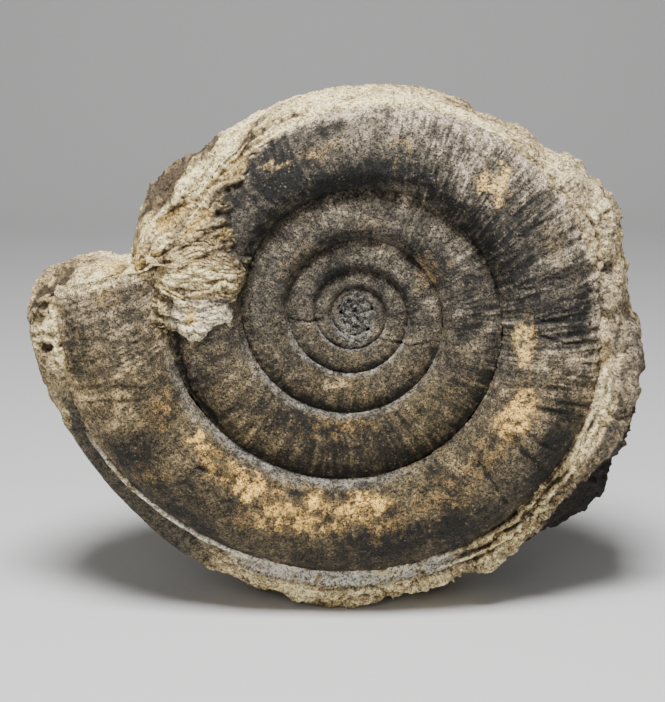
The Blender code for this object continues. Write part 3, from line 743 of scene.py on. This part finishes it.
def rock_detail(points, degrees, radius, height):
    """Relief of the broken limestone in metres, and the masks that colour it."""
    x, z = on_face(points)
    big, medium, small = chips(points, 15 * MM, 61), chips(points, 6.5 * MM, 71), chips(points, 2.8 * MM, 81)
    broad = fractal(points, 12 * MM, 3, 91)
    grain = fractal(points, 2.0 * MM, 3, 95, 0.7)
    weathered = fractal(points, 34 * MM, 3, 141)
    rim = rim_radius(degrees)
    to_rim = (radius - rim) / MM
    from_top = (degrees + 180) % 360 - 180

    # Where each kind of surface is
    front = smooth(height, -14 * MM, -4 * MM)
    outer_face = smooth(height, -34 * MM, -24 * MM)
    behind = smooth(-height, 14 * MM, 22 * MM)
    top = close_to(from_top, 0, 26, 50)
    upper_left = np.where(radius < 92 * MM, smooth(degrees, 248, 256), smooth(degrees, 262, 275))
    upper_left = upper_left * (1 - smooth(degrees, 322, 340)) * front
    tip = between(degrees, 258, 264, 276, 279) * smooth(radius, 100 * MM, 106 * MM)
    brown_face = region(x + 1.5 * broad, z + 1.5 * grain, BROWN_FACE, 1.8) * outer_face
    tan_facet = region(x + 0.6 * broad, z + 0.6 * grain, TAN_FACET, 1.0) * front
    pale_band = region(x + 1.5 * broad, z + 1.5 * grain, PALE_BAND, 2.2) * outer_face
    low_right = between(degrees, 122, 132, 172, 188) * front
    right = between(degrees, 40, 56, 112, 130) * smooth(height, -30 * MM, -20 * MM)
    lower_rim = between(degrees, 96, 112, 174, 190) * front
    bottom = between(degrees, 128, 150, 206, 222) * smooth(height, -24 * MM, -14 * MM)
    # The heel at the lower right: chipped, and near black as painted shade
    heel = between(degrees, 104, 118, 146, 158) * smooth(-height, 2 * MM, 12 * MM)
    foot_side = smooth(-np.cos(np.radians(degrees)), 0.3, 0.7) * smooth(-height, 10 * MM, 16 * MM)
    outer_brown = between(degrees, 84, 98, 136, 150)
    outer_brown = outer_brown * smooth(radius + 2.5 * MM * broad, rim + 10 * MM, rim + 13 * MM)
    off_band = smooth(degrees, 240, 252) * smooth(radius + 3 * MM * broad, rim + 5 * MM, rim + 9 * MM)
    # Painted shade on the band at the lower left, which faces down
    dark_band = between(degrees, 205, 216, 250, 262) * smooth(height, -30 * MM, -20 * MM) * (1 - off_band)

    # Features along the coil's rim
    groove = between(degrees, 152, 166, 196, 210)
    groove = groove * close_to(radius - rim, 4 * MM, 2 * MM, 4.5 * MM) * front
    line = between(degrees, 196, 206, 238, 248)
    line = line * close_to(radius - rim - 1.6 * MM + 0.6 * MM * broad, 0, 0.6 * MM, 1.6 * MM) * front
    # The band just outside the rim at the top: raised, and paler as painted light
    lit_top_lip = close_to(from_top, 5, 25, 42)
    lit_top_lip = lit_top_lip * close_to(radius - rim - 1.5 * MM + 1.2 * MM * broad, 0, 1.0 * MM, 3.0 * MM) * front
    layers = lower_rim * rim_layers(degrees, to_rim, broad, medium)
    top_lines = waves(137, degrees / 9, to_rim / 1.8 + 1.2 * broad, 0) * top * front

    # Layers, ledges and lines of the faces
    layered = flake_fan(x, z, 0.9 * broad + 0.4 * medium) * (1 - smooth(radius, 94 * MM, 99 * MM))
    ridge = stroke(x + broad, z + broad, RIDGE, 6.0)
    ledges = flakes((0.94 * z - 0.34 * x) / 5.5 + 1.2 * broad + 0.4 * medium)
    upright = waves(121, x / 2.6 + z / 9, z / 11, 0)
    flow = flow_lines(x, z, broad) * upper_left * (1 - tan_facet) * (1 - 0.6 * brown_face)
    flow = flow * smooth(radius, 84 * MM, 92 * MM)
    tip_layers = tip_strata(x, z, height, broad) * tip
    strata = waves(142, 0.03 * x, 0.03 * z, height / MM / 5 + 1.6 * broad)
    edges = np.zeros(x.shape)
    for points_of_line, half, rise in ROCK_LINES:
        on_line = stroke(x + 1.5 * broad + 0.8 * grain, z + 1.2 * broad, points_of_line, half)
        edges = edges + rise * on_line * front
    pit = np.zeros(x.shape)
    for pit_x, pit_z, size in PITS:
        away = np.hypot(x - pit_x + 0.5 * grain, z - pit_z + 0.5 * grain)
        pit = np.maximum(pit, 1 - smooth(away, 0.5 * size, size))

    relief = 1.4 * big + 0.75 * medium + 0.32 * small + 0.8 * broad + 0.32 * grain
    relief = relief * (1 - 0.5 * top)
    relief = relief * (1 - 0.75 * upper_left) + upper_left * (layered + 1.6 * ridge)
    relief = relief + low_right * 2.6 * ledges + edges
    relief = relief * (1 - 0.85 * tan_facet) - 1.2 * brown_face + brown_face * 0.7 * (small + medium)
    relief = relief + right * (0.9 * upright + 0.9 * big + 0.5 * medium)
    relief = relief + flow + 0.85 * layers
    relief = relief + 0.4 * top_lines + bottom * (0.7 * medium + 0.3 * small)
    relief = relief + 0.9 * tip_layers
    for oval, rise in TIP_TOP:
        relief = relief + rise * patch(x, z, *oval)
    relief = relief * (1 - 0.8 * np.maximum(dark_band, groove)) + 0.9 * line - groove + 0.8 * lit_top_lip
    relief = relief - 2.5 * pit * front
    relief = relief + behind * (big + 0.9 * medium + 1.6 * weathered)
    relief = relief - 2.2 * smooth(-height, 52 * MM, 72 * MM)
    relief = relief + heel * (1.2 * big + 1.2 * medium)

    # Chalk along the rim line at the lower left, and painted light in the groove at the bottom, which faces up
    chalk_and_light = 0.85 * line * smooth(broad + 0.7 * grain, -0.7, 0.4)
    chalk_and_light = np.clip(chalk_and_light + groove * smooth(broad + grain, -1.0, 0.0), 0, 1)
    chalk_patch = 0.45 * patch(x, z + 2 * broad, -66, 1, 20, 11) * upper_left
    chalk_and_light = chalk_and_light + (1 - chalk_and_light) * (0.12 * right * front + chalk_patch)
    # Cream tone, with painted light on the top band and painted highlights along the top edge
    cream_and_light = patches(x + 3 * broad, z + 2 * grain, ROCK_CREAM_AND_HIGHLIGHT) + lit_top_lip
    cream_and_light = cream_and_light + 0.9 * pale_band - 0.6 * outer_brown - 1.9 * brown_face
    brown = patches(x + 3 * broad, z + 2 * grain, ROCK_BROWN) * (1 - behind) + 0.5 * foot_side
    brown = brown + 0.75 * brown_face * smooth(0.6 * broad + grain, -1.0, 0.4)
    brown = brown + 0.3 * outer_brown * (1 - behind) + 0.5 * behind * smooth(-weathered, 0.0, 0.7)
    ochre = patches(x + 2 * broad, z + 1.5 * grain, ROCK_OCHRE) * (1 - behind)
    dark = patches(x + 2 * broad, z + grain, ROCK_DARK) * (1 - behind) + pit * front
    # Painted light and shade: over the grain, the tone follows the relief, paler on ridges and edges and darker
    # in hollows and gaps
    hollow = grain * (1 - 0.5 * upper_left) + 0.5 * small + 0.85 * upper_left * layered
    hollow = hollow + 1.3 * low_right * ledges + 0.7 * edges
    hollow = hollow + bottom * (medium + 0.6 * big + 0.25) + 1.1 * top_lines + 2.3 * flow
    hollow = hollow + layers + 1.3 * tip_layers
    hollow = hollow + behind * (0.6 * strata + 0.5 * medium + 0.8 * weathered)
    masks = {
        "cream_and_light": np.clip(cream_and_light, -0.8, 1.5),
        "brown": np.clip(brown, 0, 1),
        "grey": np.clip(dark_band * (1 - line), 0, 1),
        "ochre": np.maximum(ochre, 0.75 * tan_facet),
        "dark": np.clip(dark, 0, 1),
        "heel": heel,
        "chalk_and_light": chalk_and_light,
        "hollow": hollow,
    }
    return MM * relief, masks


def ring_skin(grid, relief):
    """Moves a closed ring-shaped grid out along its normals."""
    wrapped = np.concatenate((grid[-2:], grid, grid[:2]))
    return grid + normals_of(wrapped)[2:-2] * relief[..., None]


def make_block():
    """The block's front and sides, and its back, which tucks under the sides' last rows."""
    pieces = []
    for name, first, runs, tuck in (
        ("rock", 0, FRONT_RUNS, 1.5 * MM),
        ("rock_back", BACK_RING, BACK_RUNS, 0.0),
    ):
        grid, degrees, radius, height = block_grid(first, runs)
        relief, masks = rock_detail(grid, degrees, radius, height)
        grid = ring_skin(grid, relief - tuck * smooth(-height, -NOTCH_SOFTENS_AT, -NOTCH_SOFTENS_AT + 2 * MM))
        grid[..., 2] = np.maximum(grid[..., 2], 0.0)
        item = add_mesh(name, [(grid, True)], [masks])
        item.data.materials.append(rock_material())
        pieces.append(item)
    return pieces


# Where the crust ends and where it begins round the coil: radius in mm, angle in degrees
CRUST_TO = ((50, 305), (60, 306), (72, 311), (77, 317), (81, 325), (90, 333))
CRUST_FROM = ((50, 281), (55, 273), (60, 266), (67, 261), (74, 260), (80, 263), (90, 268))
# Lines on the crust: points in mm from the coil's axis, half width in mm, height of the ridge in mm. Each ridge
# is painted lighter, with a painted shadow just below it
CRUST_LINES = (
    (((-85.5, 36), (-80, 38.5), (-72, 43), (-66.5, 50), (-62, 56.7), (-55, 60), (-48, 63.6)), 2.0, 2.2),
    (((-77.6, 24.6), (-69.7, 29.9), (-61.7, 33), (-51.9, 34.4), (-42.4, 32.6)), 1.9, 0.7),
    (((-72.3, 36.2), (-64.4, 41.5), (-56.5, 45.1)), 1.8, 0.7),
    (((-85.3, 18.4), (-78.7, 14.0), (-69.9, 12.2), (-61.2, 14.9), (-53.6, 20.2)), 1.8, 0.6),
    (((-78.8, 20.2), (-70, 18), (-59.8, 21.1), (-52, 26.4)), 1.6, 0.5),
    (((-84.7, 13.7), (-79.4, 10.6), (-68.5, 7.9), (-58.7, 8.8), (-49.9, 11.0)), 1.1, -0.45),
)
# Low lump on the crust: x and z of its middle, half width and half height in mm
CRUST_LUMP = (-63.0, 22.0, 18.0, 11.0)


def shell_level(radius, degrees):
    """Height of the coil's flank under a place on the face."""
    angle = np.radians(degrees)
    turns = np.floor((np.log(radius / SEAM_AT_TOP) / GROWTH - angle) / TURN)
    turns = np.minimum(turns, np.floor((LAST_ANGLE - angle) / TURN))
    angle = angle + turns * TURN
    inner, outer = seam(angle), outer_edge(angle)
    share = np.clip((radius - inner) / (outer - inner), 0.0, 1.0)
    return whorl_height(inner, outer, share, angle + TURN > LAST_ANGLE)


def make_crust():
    """The crust of rock left over the upper left of the coil."""
    degrees = np.arange(244, 356, 0.24)[:, None]
    on_coil = degrees > math.degrees(LAST_ANGLE) - 720
    limit = np.where(on_coil, rim_radius(degrees) + 2.5 * MM, 97 * MM)
    radius = 44 * MM + (limit - 44 * MM) * np.linspace(0.0, 1.0, 112)[None, :]
    degrees, radius = np.broadcast_arrays(degrees, radius)
    flat = place(radius, np.radians(degrees), 0 * radius)
    ragged = fractal(flat, 9 * MM, 3, 101)
    fine_ragged = fractal(flat, 3 * MM, 3, 105)
    edge = along(CRUST_TO, radius / MM) + 4.0 * ragged + 2.0 * fine_ragged
    low_edge = along(CRUST_FROM, radius / MM)
    weight = smooth(degrees + 6 * ragged, low_edge - 2, low_edge + 3)
    weight = weight * (1 - smooth(degrees, edge - 9, edge + 2))
    weight = weight * smooth(radius + 1.5 * MM * ragged + 1.0 * MM * fine_ragged, 51 * MM, 57 * MM)
    by_seam = 1 - smooth(radius + 1.5 * MM * ragged, 86.5 * MM, 91 * MM)
    weight = weight * (by_seam + (1 - by_seam) * smooth(degrees, 281.5, 285.5))
    shell = shell_level(radius, degrees)
    thin_out = 1.2 * MM + 11 * MM * smooth(degrees, low_edge, low_edge + 26)
    thickness = np.clip(cover_level(radius) - shell, 1.0 * MM, np.minimum(crust_limit(degrees), thin_out))
    height = shell - 3.0 * MM + 3.5 * MM * smooth(weight, 0.0, 0.35)
    height = height + (thickness - 0.5 * MM) * smooth(weight, 0.15, 1.0)
    drop = 9 * MM + 13 * MM * smooth(degrees, 280, 282) * (1 - smooth(degrees, 289, 293))
    height = height - drop * smooth(radius, limit - 2.5 * MM, limit - 0.5 * MM)
    grid = place(radius, np.radians(degrees), height)
    relief, masks = rock_detail(grid, degrees, radius, height)
    x, z = on_face(grid)
    relief = relief * (1 - 0.7 * stroke(x + ragged, z + ragged, CRUST_LINES[0][0], 5.0))
    for line, half, amount in CRUST_LINES:
        ridge = stroke(x + ragged, z + ragged, line, half)
        # Painted light on each ridge and a painted shadow just below it
        shade_below_ridge = stroke(x + ragged - 0.3, z + ragged + 1.3, line, half)
        relief = relief + MM * amount * (ridge - 0.6 * shade_below_ridge)
        masks["hollow"] = masks["hollow"] + amount * (0.8 * ridge - 0.9 * shade_below_ridge)
    middle_x, middle_z, half_x, half_z = CRUST_LUMP
    lump = np.clip(1 - ((x - middle_x) / half_x) ** 2 - ((z - middle_z) / half_z) ** 2, 0, 1)
    relief = relief + 1.6 * MM * np.sqrt(lump)
    # The gap at the broken end: sunk, and darkened as painted shade
    crevice = stroke(x + 2 * ragged, z + ragged, CREVICE, 1.8)
    relief = 0.75 * relief * smooth(weight, 0.0, 0.5) - 0.7 * MM * crevice
    masks["dark"] = np.maximum(masks["dark"], 0.6 * crevice)
    fading = smooth(degrees + 7 * ragged + 4 * fine_ragged, edge - 26, edge - 2) * smooth(degrees, 286, 296)
    masks["brown"] = np.maximum(masks["brown"], 0.75 * fading)
    masks["hollow"] = masks["hollow"] - 0.5 * fading
    upper = smooth(degrees, 284, 296)
    thin = (0.5 + 0.5 * upper) * (1 - smooth(weight + 0.25 * ragged * upper, 0.3, 1.0))
    masks["grey"] = np.clip(thin * (1 - smooth(radius, 80 * MM, 92 * MM)), 0, 1)
    item = add_mesh("rock_crust", [(skin(grid, relief), False)], [masks])
    item.data.materials.append(rock_material())
    return item


# Materials

def node(tree, kind, **settings):
    """A new node with its settings, and its inputs linked or set."""
    item = tree.nodes.new(kind)
    inputs = settings.pop("inputs", {})
    for name, value in settings.items():
        setattr(item, name, value)
    for name, value in inputs.items():
        if isinstance(value, bpy.types.NodeSocket):
            tree.links.new(value, item.inputs[name])
        else:
            item.inputs[name].default_value = value
    return item


def grain_noise(tree, coordinates, size, detail, roughness):
    texture = node(tree, "ShaderNodeTexNoise", inputs={
        "Vector": coordinates, "Scale": 1 / size, "Detail": detail, "Roughness": roughness})
    return texture.outputs["Fac"]


def crisp_grains(tree, coordinates, size):
    """A different value from 0 to 1 in each small cell."""
    cells = node(tree, "ShaderNodeTexVoronoi", inputs={"Vector": coordinates, "Scale": 1 / size})
    return node(tree, "ShaderNodeSeparateColor", inputs={0: cells.outputs["Color"]}).outputs[0]


def attributes(tree, *names):
    """The masks of a mesh, as its material reads them."""
    return [node(tree, "ShaderNodeAttribute", attribute_name=name).outputs["Fac"] for name in names]


def calculate(tree, operation, first, second=0.0, third=0.0):
    inputs = {0: first, 1: second, 2: third}
    return node(tree, "ShaderNodeMath", operation=operation, inputs=inputs).outputs[0]


def add_up(tree, total, *terms):
    """Adds each value times its strength to a total."""
    for value, strength in terms:
        total = calculate(tree, "MULTIPLY_ADD", value, strength, total)
    return total


def stretch(tree, value, low, high, to_low=0.0, to_high=1.0):
    """Maps a run of values onto another, held at its ends."""
    inputs = {"Value": value, "From Min": low, "From Max": high, "To Min": to_low, "To Max": to_high}
    return node(tree, "ShaderNodeMapRange", interpolation_type="SMOOTHSTEP", inputs=inputs).outputs["Result"]


def blend(tree, factor, first, second, blend_type="MIX"):
    """Mixes two colours, each of them a plain colour or a socket."""
    item = node(tree, "ShaderNodeMix", data_type="RGBA", blend_type=blend_type, inputs={0: factor})
    for socket, value in ((item.inputs[6], first), (item.inputs[7], second)):
        if isinstance(value, bpy.types.NodeSocket):
            tree.links.new(value, socket)
        else:
            socket.default_value = (*value, 1.0)
    return item.outputs[2]


def grey_of(tree, value):
    return node(tree, "ShaderNodeCombineColor", inputs={0: value, 1: value, 2: value}).outputs[0]


def mottle(tree, coordinates, colour, speck, size, full, dimmest, brightest):
    """Darkens and lightens a colour grain by grain."""
    grains = crisp_grains(tree, coordinates, size)
    mottled = add_up(tree, -0.10, (speck, 0.9), (grains, 0.30))
    bright = stretch(tree, mottled, 0.25, full, dimmest, brightest)
    return blend(tree, 1.0, colour, grey_of(tree, bright), "MULTIPLY")


def roughen(tree, shader, speck, middle, depth):
    """Gives a surface the grain's relief."""
    height = calculate(tree, "MULTIPLY_ADD", speck, 1.0, middle)
    bump = node(tree, "ShaderNodeBump", inputs={"Strength": 1.0, "Distance": depth, "Height": height})
    tree.links.new(bump.outputs["Normal"], shader.inputs["Normal"])


def new_material(name):
    finish = bpy.data.materials.new(name)
    finish.use_nodes = True
    tree = finish.node_tree
    coordinates = node(tree, "ShaderNodeTexCoord").outputs["Object"]
    return finish, tree, tree.nodes["Principled BSDF"], coordinates


SHELL_BLACK = (0.0120, 0.0106, 0.0082)
SHELL_BROWN = (0.125, 0.101, 0.066)
SHELL_TAN = (0.55, 0.43, 0.285)
# Painted light: the pale greys of the inner walls that face upwards
LIT_WALL_COLOURS = ((0.075, 0.068, 0.057), (0.27, 0.25, 0.215))
RUBBED_BROWN = (0.19, 0.130, 0.062)
RUBBED_OCHRE = (0.78, 0.52, 0.18)
FACE_COLOURS = ((0.60, 0.46, 0.24), (0.93, 0.80, 0.50))
TINTS = ((0.97, 1.0, 1.09), (1.07, 0.98, 0.74))
CRYSTAL = (0.55, 0.46, 0.32)
CENTRE = (0.40, 0.39, 0.35)


def shell_material():
    """Dark shell, paler where it is rubbed and with painted light on the inner walls that face upwards, darker
    with painted shade on its undersides, with striae along the growth lines.
    """
    if "fossil_shell_skin" in bpy.data.materials:
        return bpy.data.materials["fossil_shell_skin"]
    finish, tree, shader, coordinates = new_material("fossil_shell_skin")
    speck = grain_noise(tree, coordinates, 0.5 * MM, 2.0, 0.8)
    middle = grain_noise(tree, coordinates, 4.5 * MM, 4.0, 0.65)
    broad = grain_noise(tree, coordinates, 24.0 * MM, 3.0, 0.6)
    ochre, pale_and_lit, dark, warm = attributes(tree, "ochre", "pale_and_lit", "dark", "warm")
    face, lit_wall, centre = attributes(tree, "face", "lit_wall", "centre")
    streak, streaky, around, across = attributes(tree, "streak", "streaky", "around", "across")
    ochre = calculate(tree, "MULTIPLY", ochre, stretch(tree, middle, 0.34, 0.60, 0.65, 1.32))
    on_whorl = node(tree, "ShaderNodeCombineXYZ", inputs={"X": around, "Y": across}).outputs[0]
    striae = grain_noise(tree, on_whorl, 1.0, 5.0, 0.66)
    striae = calculate(tree, "MULTIPLY", calculate(tree, "SUBTRACT", striae, 0.5), streaky)
    tone = calculate(tree, "MULTIPLY", streak, 0.22)
    # The pale and dark masks carry painted light and painted shade as well as tone
    tone = add_up(tree, tone, (middle, 0.80), (striae, 1.1), (broad, 0.75), (pale_and_lit, 0.32), (dark, -0.34))
    colour = blend(tree, stretch(tree, tone, 0.485, 1.005), SHELL_BLACK, SHELL_BROWN)
    colour = blend(tree, stretch(tree, tone, 0.845, 1.285), colour, SHELL_TAN)
    patchy = stretch(tree, middle, 0.35, 0.65)
    # Painted light on the inner walls that face upwards
    colour = blend(tree, calculate(tree, "MULTIPLY", lit_wall, 0.85), colour, blend(tree, patchy, *LIT_WALL_COLOURS))
    rubbed = add_up(tree, middle, (ochre, 1.2), (speck, 0.4))
    colour = blend(tree, stretch(tree, rubbed, 0.75, 1.6, 0.0, 0.8), colour, RUBBED_BROWN)
    colour = blend(tree, stretch(tree, rubbed, 1.25, 2.15, 0.0, 0.95), colour, RUBBED_OCHRE)
    colour = blend(tree, face, colour, blend(tree, patchy, *FACE_COLOURS))
    colour = mottle(tree, coordinates, colour, speck, 0.75 * MM, 0.80, 0.04, 2.5)
    colour = blend(tree, 1.0, colour, blend(tree, warm, *TINTS), "MULTIPLY")
    crystals = calculate(tree, "MULTIPLY_ADD", middle, 0.2, crisp_grains(tree, coordinates, 0.75 * MM))
    colour = blend(tree, stretch(tree, crystals, 1.05, 1.14, 0.0, 0.4), colour, CRYSTAL)
    sparkle = calculate(tree, "MULTIPLY", centre, stretch(tree, speck, 0.45, 0.62, 0.0, 0.9))
    colour = blend(tree, sparkle, colour, CENTRE)
    tree.links.new(colour, shader.inputs["Base Color"])
    tree.links.new(stretch(tree, speck, 0.3, 0.7, 0.8, 0.5), shader.inputs["Roughness"])
    shader.inputs["Specular IOR Level"].default_value = 0.32
    roughen(tree, shader, speck, middle, 0.8 * MM)
    return finish


STONE_DARK = (0.075, 0.052, 0.027)
STONE_TAN = (0.52, 0.39, 0.195)
STONE_CREAM = (0.95, 0.79, 0.42)
STONE_BROWN = (0.11, 0.072, 0.038)
# Near black greys: painted shade on the lower left band, and the grey of thin crust
STONE_GREYS = ((0.019, 0.017, 0.013), (0.064, 0.056, 0.043))
STONE_CHALK = (0.90, 0.84, 0.72)
STONE_OCHRE = (0.72, 0.48, 0.16)
# Painted shade on the heel
STONE_HEEL_SHADE = (0.017, 0.011, 0.007)


def rock_material():
    """Cream to brown limestone, with painted shade in its hollows, on the heel and on the lower left band, and
    painted light on its ridges.
    """
    if "limestone_skin" in bpy.data.materials:
        return bpy.data.materials["limestone_skin"]
    finish, tree, shader, coordinates = new_material("limestone_skin")
    speck = grain_noise(tree, coordinates, 0.8 * MM, 3.0, 0.8)
    middle = grain_noise(tree, coordinates, 4.5 * MM, 4.0, 0.7)
    broad = grain_noise(tree, coordinates, 30.0 * MM, 3.0, 0.6)
    cream_and_light, brown, grey, ochre = attributes(tree, "cream_and_light", "brown", "grey", "ochre")
    dark, hollow, heel, chalk_and_light = attributes(tree, "dark", "hollow", "heel", "chalk_and_light")
    tone = calculate(tree, "MULTIPLY", cream_and_light, 0.4)
    tone = add_up(tree, tone, (middle, 0.8), (broad, 0.7), (hollow, 0.33), (dark, -0.5))
    colour = blend(tree, stretch(tree, tone, 0.35, 0.85), STONE_DARK, STONE_TAN)
    colour = blend(tree, stretch(tree, tone, 0.75, 1.2), colour, STONE_CREAM)
    colour = blend(tree, calculate(tree, "MULTIPLY", brown, 0.75), colour, STONE_BROWN)
    # Greys: painted shade on the lower left band, and grey where the crust is thin
    greys = blend(tree, stretch(tree, middle, 0.35, 0.7), *STONE_GREYS)
    colour = blend(tree, calculate(tree, "MULTIPLY", grey, 0.92), colour, greys)
    # Chalk, and painted light in the bottom groove
    colour = blend(tree, calculate(tree, "MULTIPLY", chalk_and_light, 0.85), colour, STONE_CHALK)
    stained = stretch(tree, calculate(tree, "ADD", ochre, middle), 0.8, 1.3, 0.0, 0.9)
    colour = blend(tree, stained, colour, STONE_OCHRE)
    # Painted shade on the heel
    colour = blend(tree, heel, colour, STONE_HEEL_SHADE)
    colour = mottle(tree, coordinates, colour, speck, 0.9 * MM, 0.75, 0.14, 1.95)
    tree.links.new(colour, shader.inputs["Base Color"])
    shader.inputs["Roughness"].default_value = 0.88
    roughen(tree, shader, speck, middle, 1.3 * MM)
    return finish


# Stage

FLOOR_SIDE, FLOOR_FRONT, FLOOR_BACK = 3.0, -3.0, 1.6
WALL_HEIGHT, BEND_RADIUS, BEND_STEPS = 2.2, 0.5, 12
FLOOR_GREYS = ((0.60, 0.60, 0.60), (0.64, 0.64, 0.64))
SKY_COLOUR, SKY_STRENGTH = (1.0, 0.985, 0.96, 1.0), 0.14
LIGHT_AIM = (0, 0, 0.12)
# Lights: name, place, size and power
LIGHTS = (
    ("top", (-0.04, -0.40, 1.1), (0.40, 0.30), 28.0),
    ("front", (-0.3, -1.3, 0.7), (0.9, 0.9), 4.0),
)
VIEW_ELEVATION, VIEW_DISTANCE = math.radians(12), 0.75
SENSOR_WIDTH = 36
# The photograph's longer side, its middle and the coil's axis in it, in pixels
PICTURE_SIDE = 702
PICTURE_MIDDLE = (332.5, 351)
AXIS_IN_PICTURE = (355.1, 314.3)
PIXEL = 0.45 * MM


def make_stage():
    """A paper floor that bends up into a wall behind."""
    data = bpy.data.meshes.new("floor")
    bend_from = FLOOR_BACK - BEND_RADIUS
    rows = [(FLOOR_FRONT, 0.0), (bend_from, 0.0)]
    for a in np.linspace(0, math.pi / 2, BEND_STEPS + 1)[1:]:
        rows.append((bend_from + BEND_RADIUS * math.sin(a), BEND_RADIUS - BEND_RADIUS * math.cos(a)))
    rows.append((FLOOR_BACK, WALL_HEIGHT))
    corners = [(x, y, z) for y, z in rows for x in (-FLOOR_SIDE, FLOOR_SIDE)]
    faces = [(2 * k, 2 * k + 1, 2 * k + 3, 2 * k + 2) for k in range(len(rows) - 1)]
    data.from_pydata(corners, [], faces)
    data.shade_smooth()
    floor = bpy.data.objects.new("floor", data)
    bpy.context.scene.collection.objects.link(floor)
    finish, tree, shader, coordinates = new_material("floor_paper")
    paper = grain_noise(tree, coordinates, 4.0 * MM, 2.0, 0.5)
    tree.links.new(blend(tree, paper, *FLOOR_GREYS), shader.inputs["Base Color"])
    shader.inputs["Roughness"].default_value = 0.9
    data.materials.append(finish)


def add_light(name, location, size, energy):
    """A rectangular light that is turned towards the stone."""
    data = bpy.data.lights.new(name, "AREA")
    data.shape = "RECTANGLE"
    data.size, data.size_y = size
    data.energy = energy
    item = bpy.data.objects.new(name, data)
    item.location = location
    item.rotation_euler = (Vector(LIGHT_AIM) - Vector(location)).to_track_quat("-Z", "Y").to_euler()
    bpy.context.scene.collection.objects.link(item)


def make_camera():
    """The photograph's view of the coil's face."""
    data = bpy.data.cameras.new("camera")
    item = bpy.data.objects.new("camera", data)
    back, up = VIEW_DISTANCE * math.cos(VIEW_ELEVATION), VIEW_DISTANCE * math.sin(VIEW_ELEVATION)
    item.location = (AXIS_X, AXIS_Y - back, AXIS_Z + up)
    item.rotation_euler = (math.pi / 2 - VIEW_ELEVATION, 0, 0)
    data.lens = VIEW_DISTANCE / PIXEL * SENSOR_WIDTH / PICTURE_SIDE
    data.shift_x = (PICTURE_MIDDLE[0] - AXIS_IN_PICTURE[0]) / PICTURE_SIDE
    data.shift_y = (AXIS_IN_PICTURE[1] - PICTURE_MIDDLE[1]) / PICTURE_SIDE
    data.clip_start, data.clip_end = 0.05, 20
    bpy.context.scene.collection.objects.link(item)
    bpy.context.scene.camera = item


def make_world():
    world = bpy.data.worlds.new("studio")
    world.use_nodes = True
    background = world.node_tree.nodes["Background"]
    background.inputs["Color"].default_value = SKY_COLOUR
    background.inputs["Strength"].default_value = SKY_STRENGTH
    bpy.context.scene.world = world


def main():
    shell = make_shell()
    rock = [*make_block(), make_crust()]
    for item in shell:
        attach(item, "root")
        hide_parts("ammonite")
    for item in rock:
        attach(item, "root")
        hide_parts("rock_matrix")
    make_stage()
    make_world()
    for light in LIGHTS:
        add_light(*light)
    make_camera()


main()
